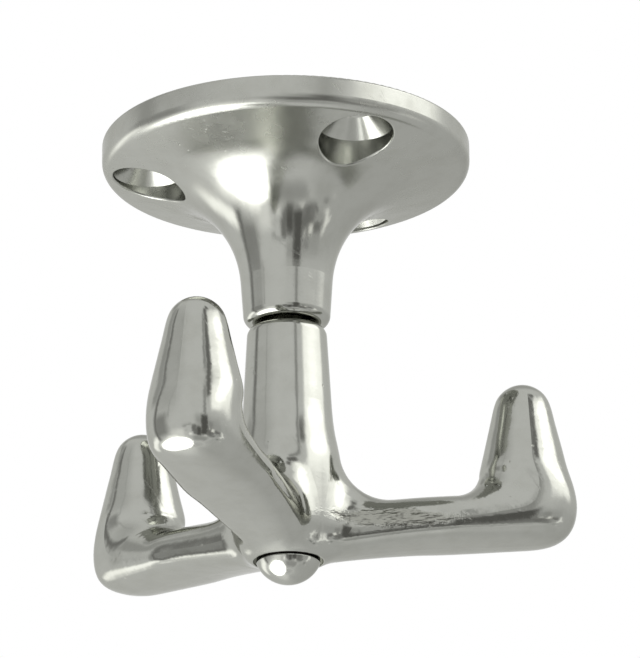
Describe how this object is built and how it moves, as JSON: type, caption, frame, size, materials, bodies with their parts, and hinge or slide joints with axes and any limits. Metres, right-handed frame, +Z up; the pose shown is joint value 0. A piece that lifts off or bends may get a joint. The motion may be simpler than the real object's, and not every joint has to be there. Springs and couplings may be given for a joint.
{
  "type": "swivel triple hook",
  "caption": "Polished cast ceiling hook: a round screw-on flange with a bell-shaped neck, and below it a hub with upturned prongs that turns freely on a domed rivet.",
  "frame": {"origin": "centre of the flange's mounting face, on the swivel axis", "axes": "+Z up into the ceiling, along the swivel axis; the part hangs towards -Z; +X is midway between two screw holes"},
  "size_m": [0.0589, 0.0618, 0.056],
  "materials": {
    "polished_casting": "mirror-polished nickel plate over a casting, slightly warm grey",
    "polished_rivet": "polished nickel plate"
  },
  "bodies": {
    "base": {"ceiling_flange": "polished_casting", "pivot_rivet": "polished_rivet"},
    "hook": {"triple_hook": "polished_casting"}
  },
  "joints": [
    {"name": "hook_swivel", "type": "hinge", "parent": "base", "child": "hook", "pos_m": [0, 0, -0.0382], "axis": [0, 0, 1], "continuous": true}
  ]
}
